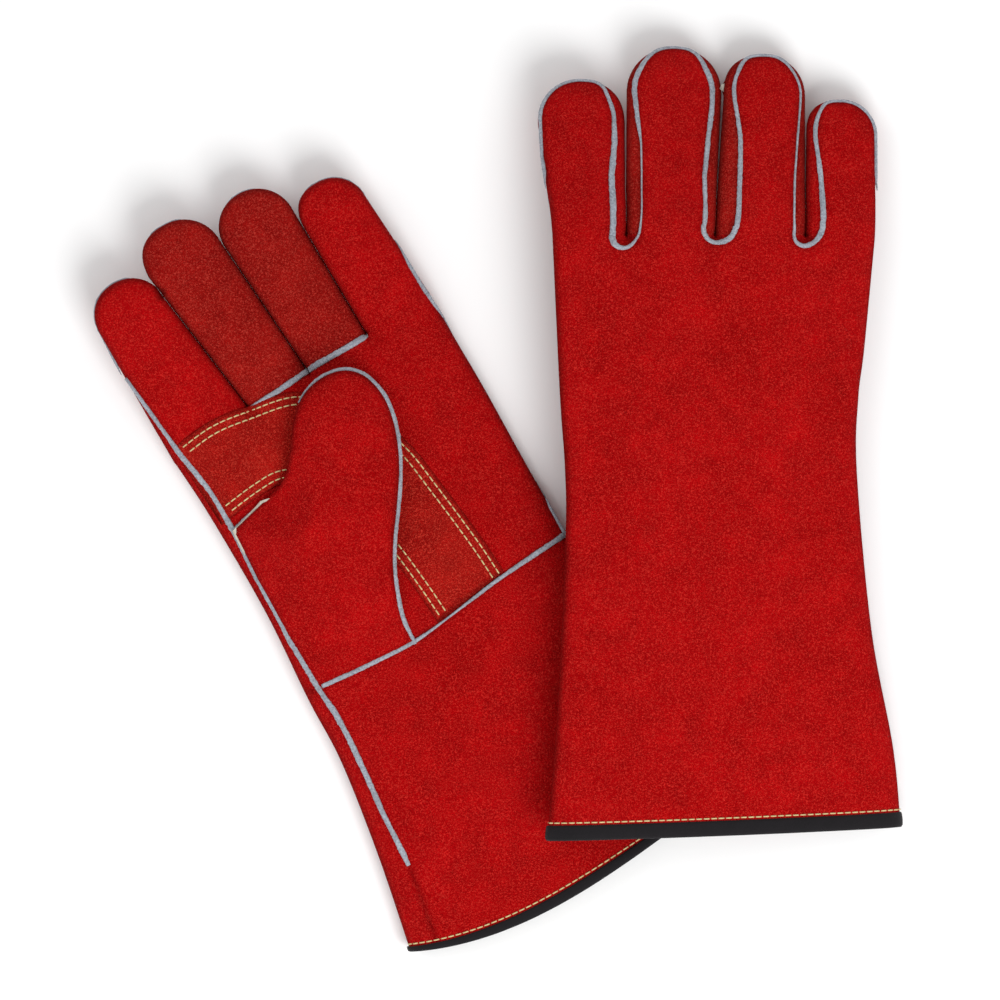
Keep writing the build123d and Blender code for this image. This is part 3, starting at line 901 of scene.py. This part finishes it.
def hem_loop(gl, up):
    """Points round the cuff at a height above the hem: over the back, then back under the palm side."""
    g = gl.g
    x0, x1 = g["thumb_edge"][0][1], g["little_edge"][0][1]
    xs = (x0 + x1) / 2 + (x1 - x0) / 2 * HEM_WAY
    up = np.broadcast_to(up, len(xs))
    out = []
    for back, order, lift in ((True, xs, up), (False, xs[::-1], up[::-1])):
        y = gl.hem_y(order) + lift
        left = gl.te(np.maximum(y, 0)) + 0.05
        right = gl.le(np.maximum(y, g["hem_rise"])) - 0.05
        out.append(gl.flat(np.column_stack([np.clip(order, left, right), y]), back))
    return np.vstack([out[0], out[1][1:-1]])


def stitches(path, normal, long=2.5, gap=0.9, thick=0.7):
    """Separate stitches along a path, each a short bead that dips at both ends."""
    d = run_along(path) * 1000
    out, s = [], 0.6
    while s + long < d[-1]:
        t = s + np.linspace(0, long, 7)
        p = np.column_stack([np.interp(t, d, path[:, i]) for i in range(3)])
        n = unit(np.column_stack([np.interp(t, d, normal[:, i]) for i in range(3)]))
        arch = np.sin(np.linspace(0, math.pi, 7))[:, None]
        p = p + n * (0.5 * arch - 0.15) / 1000
        out.append(tube(p, n, thick, thick * 0.85, sides=6))
        s += long + gap
    return out


def make_hem(gl, pieces, normals_at):
    """The bound hem: a tape folded over the edge of the cuff, and a row of stitches above it."""
    # from the outer edge to the inner edge: out of the leather in mm, and up the cuff as a share of the tape
    section = (
        (0.15, 1.03), (0.75, 1.0), (1.05, 0.85), (1.15, 0.45), (1.0, 0.12), (0.3, -0.03),
        (-1.0, -0.05), (-2.2, -0.02), (-3.0, 0.12), (-3.1, 0.5), (-3.0, 0.8), (-2.4, 0.9),
    )
    g = gl.g
    rows = []
    for out, up in section:
        tall = tape_height(gl) * up
        loop = gl.lay(hem_loop(gl, tall))
        n = unit(normals_at(loop) * [1, 0.2, 1])
        bulge = out + 0.12 * np.array([noise.noise(Vector(tuple(p * 45))) for p in loop])
        rows.append(rest(loop + n * bulge[:, None] / 1000))
    v = np.vstack(rows)
    m, k = len(rows[0]), len(rows)
    ring = [(i * m + j, i * m + (j + 1) % m, (i + 1) % k * m + (j + 1) % m, (i + 1) % k * m + j)
            for i in range(k) for j in range(m)]
    if g["palm_up"]:
        ring = [face[::-1] for face in ring]
    pieces["hem_binding"] = mesh_object(f"{gl.side}_hem_tape", v, ring, BLACK)
    loop = gl.lay(hem_loop(gl, tape_height(gl) + 1.3))
    loop = np.vstack([loop, loop[:1]])
    n = normals_at(loop)
    loop = rest(loop + n * 0.0001)
    pieces["hem_stitching"] = tubes_object(f"{gl.side}_hem_stitches", stitches(loop, n), THREAD)


def seam_x(gl, y):
    """The x of the seam up the thumb side of the palm, at y."""
    return np.interp(y, gl.seam_thumb[:, 1], gl.seam_thumb[:, 0])


def strap_lift(gl, pts):
    """How far the strap's face stands off the palm: it thins out where it runs into the side seam."""
    return STRAP_THICK * (0.1 + 0.9 * smooth((pts[:, 0] - seam_x(gl, pts[:, 1])) / 5.0))


def make_strap(gl, pieces):
    """The palm strap: a band of leather on the palm, sewn down with two rows along each edge."""
    outer, inner = resample(spline(STRAP_OUTER), 2.0), resample(spline(STRAP_INNER), 2.0)
    top_y = knuckle_y(gl.g, -40.0) - knuckle_y(GLOVES["left"], -40.0)

    def shifted(path):
        # the longer hand carries the strap's cross band nearer its own knuckles
        q = path.copy()
        q[:, 1] += top_y * smooth((q[:, 1] - 150) / 80)
        return q

    outer, inner = shifted(outer), shifted(inner)
    rim = clean(np.vstack([outer, inner[::-1]]), 0.6)
    rim_closed = np.vstack([rim, rim[:1]])
    area = np.sum(rim_closed[:-1, 0] * rim_closed[1:, 1] - rim_closed[1:, 0] * rim_closed[:-1, 1])
    if area > 0:
        rim_closed = rim_closed[::-1]
    rim = rim_closed[:-1]
    body = scatter(rim_closed, [], 2.4, rings=(0.7, 1.6))
    v, f = triangulate(np.vstack([rim, body]), [list(range(len(rim))) + [0]])
    mid = v[f].mean(1)
    f = f[inside(rim, mid)]
    d = distance(rim_closed, v)
    lift = strap_lift(gl, v) * np.sqrt(smooth(0.35 + d / 1.6))
    top = gl.flat(v, False)
    top[:, 2] -= lift
    skirt = gl.flat(v[: len(rim)], False, 0.05)
    n_top = len(top)
    allv = np.vstack([top, skirt])
    ring = [(i, (i + 1) % len(rim)) for i in range(len(rim))]
    side = []
    for i, j in ring:
        side += [(i, j, n_top + j), (i, n_top + j, n_top + i)]
    faces = np.vstack([f[:, ::-1], np.array(side)])
    laid = gl.lay(allv)
    if gl.g["palm_up"]:
        faces = faces[:, ::-1]
    n = normals_of(laid, faces)
    # a painted shade along the strap's rim, full on its cut sides
    painted_shade = np.concatenate([1 - smooth(d / 1.6), np.ones(len(rim))])
    pieces["palm_strap"] = mesh_object(f"{gl.side}_strap", laid, faces, STRAP, None, painted_shade)
    nearest = nearest_to(laid[:n_top])
    rows = []
    for path, way in ((outer, 1), (inner, -1)):
        t = unit(np.gradient(path, axis=0))
        left = np.column_stack([-t[:, 1], t[:, 0]])
        for inset in STITCH_INSETS:
            line = path + left * way * inset
            line = line[inside(rim, line)]
            line = resample(line[line[:, 0] > seam_x(gl, line[:, 1]) + 1.0], 1.2)
            p = gl.flat(line, False)
            p[:, 2] -= strap_lift(gl, line) + 0.02
            p = gl.lay(p)
            rows += stitches(p, np.array([n[nearest(q)] for q in p]))
    pieces["strap_stitching"] = tubes_object(f"{gl.side}_strap_stitches", rows, THREAD)


def bend_thumb(g, p):
    """Swings the thumb about its root, the wing staying where it is sewn down."""
    a = math.radians(g["thumb_bend"])
    if not a:
        return p
    w = thumb_weight(p[:, :2]) * a
    c, s = np.cos(w), np.sin(w)
    x, y = p[:, 0] - THUMB_PIVOT[0], p[:, 1] - THUMB_PIVOT[1]
    q = p.copy()
    q[:, 0] = THUMB_PIVOT[0] + x * c - y * s
    q[:, 1] = THUMB_PIVOT[1] + x * s + y * c
    return q


def thumb_weight(pts):
    d = THUMB_END - THUMB_START
    return smooth(((pts - THUMB_START) @ d) / (d @ d)) * smooth((pts[:, 0] + 64) / 24)


def make_thumb(gl, pieces):
    """The thumb: a stuffed form that grows out of the wing sewn between the side seam and the wrist."""
    g, side = gl.g, gl.side
    free = resample(spline(THUMB_FREE), 1.8)
    seam = gl.seam_thumb[(gl.seam_thumb[:, 1] > 123.5) & (gl.seam_thumb[:, 1] < 206)]
    crotch = spline([tuple(seam[-1]), *THUMB_CROTCH], 1.8)[:-1]
    wrist = gl.wrist[(gl.wrist[:, 0] > seam[0][0] + 1) & (gl.wrist[:, 0] < -13.5)]
    sewn = np.vstack([wrist[::-1], seam[:-1], crotch])
    rim = clean(np.vstack([free, sewn]), 0.7)
    rim_closed = np.vstack([rim, rim[:1]])
    body = scatter(rim_closed, [], 2.2, rings=(0.3, 1.0, 2.2, 3.8))
    v, f = triangulate(np.vstack([rim, body]), [list(range(len(rim))) + [0]])
    f = f[inside(rim, v[f].mean(1))]
    d_free, d_sewn = distance(free, v), distance(sewn, v)
    # the thumb lifts off the palm away from the wing's seams
    along = (v - np.array(THUMB_FOOT)) @ np.array(THUMB_AXIS)
    tall = THUMB_TALL * smooth((along + 4) / 78) * np.minimum(1.0, 0.12 + d_sewn / 26)
    tall = np.where(d_sewn < 0.2, 0.0, tall)
    crown = Plump(rim_closed, THUMB_PUFF_REACH)(v)
    round_off = np.sqrt(np.clip(1 - np.exp(-d_free / 6.5), 0, 1))
    # past the wing the edge is free, and the form rounds over it to the underside
    palm = gl.height(v, False)
    bumps = 0.45 * ripple(v, g["seed"] + 20, 16.0) * crown
    over = palm + 0.5 + tall * 0.5 * (1 + round_off) + bumps * smooth(d_sewn / 8)
    under = palm + 0.35 + tall * 0.5 * (1 - round_off) * 0.9
    over = np.maximum(over, under + 0.02)
    top, low = np.column_stack([v, -over]), np.column_stack([v, -under])
    link = np.arange(2 * len(v))
    for i in range(len(rim)):
        if d_free[i] < 0.2:
            link[len(v) + i] = i
    allv = np.vstack([top, low])
    faces = np.vstack([f[:, ::-1], f + len(v)])
    part = np.array([0] * len(f) + [1] * len(f))
    faces = link[faces]
    allv = bend_thumb(g, allv)
    laid = gl.lay(allv)
    if g["palm_up"]:
        faces = faces[:, ::-1]
    n = normals_of(laid, faces)
    # a painted shade beside the thumb's free edge and its seams
    painted_shade = np.tile(1 - smooth(np.minimum(d_free, d_sewn) / SEAM_SHADE), 2)
    for k, name in ((0, "thumb_front"), (1, "thumb_back")):
        sv, sf, sn, sw = subset(laid, faces, n, part == k, painted_shade)
        pieces[name] = mesh_object(f"{side}_{name}_skin", sv, sf, RED, sn, sw)
    inner = laid - n * THUMB_LINING_DEPTH / 1000
    keep = np.tile((v[f].mean(1) @ np.array(THUMB_AXIS)) > 150, 2)
    sv, sf, sn, _ = subset(inner, faces[:, ::-1], -n, keep)
    pieces["thumb_lining"] = mesh_object(f"{side}_thumb_lining_cloth", sv, sf, FLEECE, sn)
    # welts: round the free edge from the tip down, and across the crotch to the side seam
    nearest = nearest_to(np.column_stack([v, np.zeros(len(v))]))

    def edge_path(path, where):
        idx = [nearest((*q, 0)) for q in path]
        z = np.array([where[i] for i in idx])
        k = np.ones(5) / 5
        z = np.convolve(np.pad(z, 2, mode="edge"), k, mode="valid")
        p = bend_thumb(g, np.column_stack([path, -z]))
        return gl.lay(p), np.array([n[i] for i in idx])

    first = int(np.argmin(np.linalg.norm(free - np.array(THUMB_WELT_START), axis=1)))
    tip = resample(free[first:], WELT_STEP)
    p, nrm = edge_path(tip, over)
    up = gl.lay(np.array([[0, 0, -1.0], [0, 0, 0]]))
    up = (up[0] - up[1]) / np.linalg.norm(up[0] - up[1])
    drop = 1.8 * (1 - smooth(np.arange(len(p)) / 14.0))
    p = p + nrm * 0.0003 - up * drop[:, None] / 1000
    way = np.linspace(0, 1, len(p))
    wide = np.interp(way, (0, 0.08, 0.3, 0.9, 1), (0.6, 1.5, 2.5, 2.2, 1.4))
    beads = [welt(p, up + nrm * 0.5, wide, 9.0)]
    q = resample(crotch, WELT_STEP)
    p, nrm = edge_path(q, over)
    wide = np.interp(np.linspace(0, 1, len(p)), (0, 0.6, 1), (1.8, 1.5, 0.5))
    beads.append(welt(p + up * 0.0003, np.tile(up, (len(p), 1)), wide, 12.0))
    pieces["thumb_welt"] = tubes_object(f"{side}_thumb_welt_strip", beads, WELT)


HAND_PIECES = (
    "back_panel", "palm_panel", "cuff_front", "seam_welting", "hem_binding", "hem_stitching", "palm_strap",
    "strap_stitching", "hand_lining",
)

for side in ("left", "right"):
    gl, pieces = make_glove(side)
    g = gl.g
    hand = f"{side}_hand"
    for name in HAND_PIECES:
        obj = pieces.pop(name)
        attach(obj, hand)
        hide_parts(f"{side}_{name}")
    for name in ("thumb_front", "thumb_back", "thumb_welt", "thumb_lining"):
        obj = pieces.pop(name)
        ends = gl.lay(np.array([[*THUMB_START, -HALF_THICK], [*THUMB_END, -HALF_THICK]]))
        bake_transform(obj)
        # the wing that the thumb grows out of is part of its front
        nodes = [f"{side}_{name}"] + ([f"{side}_thumb_wing"] if name == "thumb_front" else [])
        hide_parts(*nodes)
    for k, finger in enumerate(FINGERS):
        x = (g["gaps"][k] + g["gaps"][k + 1]) / 2
        s = g["knuckle_slope"] / math.hypot(1, g["knuckle_slope"])
        c = 1 / math.hypot(1, g["knuckle_slope"])
        start = np.array([x, knuckle_y(g, x), -HALF_THICK])
        ends = gl.lay(np.array([start, start + [-FINGER_BEND * s, FINGER_BEND * c, 0]]))
        for part in ("back", "front", "welt", "lining"):
            obj = pieces.pop(f"{finger}_{part}")
            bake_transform(obj)
            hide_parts(f"{side}_{finger}_{part}")

# ---------------------------------------------------------------- floor, light and camera

FLOOR_HALF = 3
FLOOR_Z = -0.0005
floor_mesh = bpy.data.meshes.new("floor")
corners = [(x * FLOOR_HALF, y * FLOOR_HALF, FLOOR_Z) for x, y in ((-1, -1), (1, -1), (1, 1), (-1, 1))]
floor_mesh.from_pydata(corners, [], [(0, 1, 2, 3)])
floor = bpy.data.objects.new("floor", floor_mesh)
bpy.context.collection.objects.link(floor)
m, tree, bsdf = node_tree("floor_white")
tone = noise_node(tree, tree.nodes.new("ShaderNodeTexCoord").outputs["Object"], 3.0)
white = ramp(tree, tone, 0.2, 0.8, (0.94, 0.94, 0.94, 1), (0.95, 0.95, 0.95, 1))
tree.links.new(white, bsdf.inputs["Base Color"])
bsdf.inputs["Roughness"].default_value = 0.9
bsdf.inputs["Specular IOR Level"].default_value = 0.1
floor_mesh.materials.append(m)

world = bpy.data.worlds.new("studio")
world.use_nodes = True
world.node_tree.nodes["Background"].inputs["Color"].default_value = (1, 1, 1, 1)
world.node_tree.nodes["Background"].inputs["Strength"].default_value = 0.62
bpy.context.scene.world = world
bpy.context.scene.view_settings.view_transform = "Standard"


def area_light(name, place, size, power):
    """A square light that faces the gloves."""
    data = bpy.data.lights.new(name, "AREA")
    data.shape = "SQUARE"
    data.size = size
    data.energy = power
    obj = bpy.data.objects.new(name, data)
    obj.location = place
    obj.rotation_euler = (Vector((0, 0, 0)) - Vector(place)).to_track_quat("-Z", "Y").to_euler()
    bpy.context.collection.objects.link(obj)


area_light("key", (0.5, -0.9, 1.2), 0.9, 18.0)
area_light("fill", (-1.2, 0.7, 1.9), 1.6, 9.0)

# The camera looks straight down from far off, and its frame is 0.45 m wide a little above the table
CAMERA_FAR = 4.5
FRAME_WIDE = 0.45
SENSOR = 36.0
camera = bpy.data.cameras.new("camera")
camera.sensor_width = SENSOR
camera.lens = SENSOR * CAMERA_FAR / FRAME_WIDE
camera_object = bpy.data.objects.new("camera", camera)
camera_object.location = (0.0010, -0.0004, CAMERA_FAR + 0.012)
bpy.context.collection.objects.link(camera_object)
bpy.context.scene.camera = camera_object
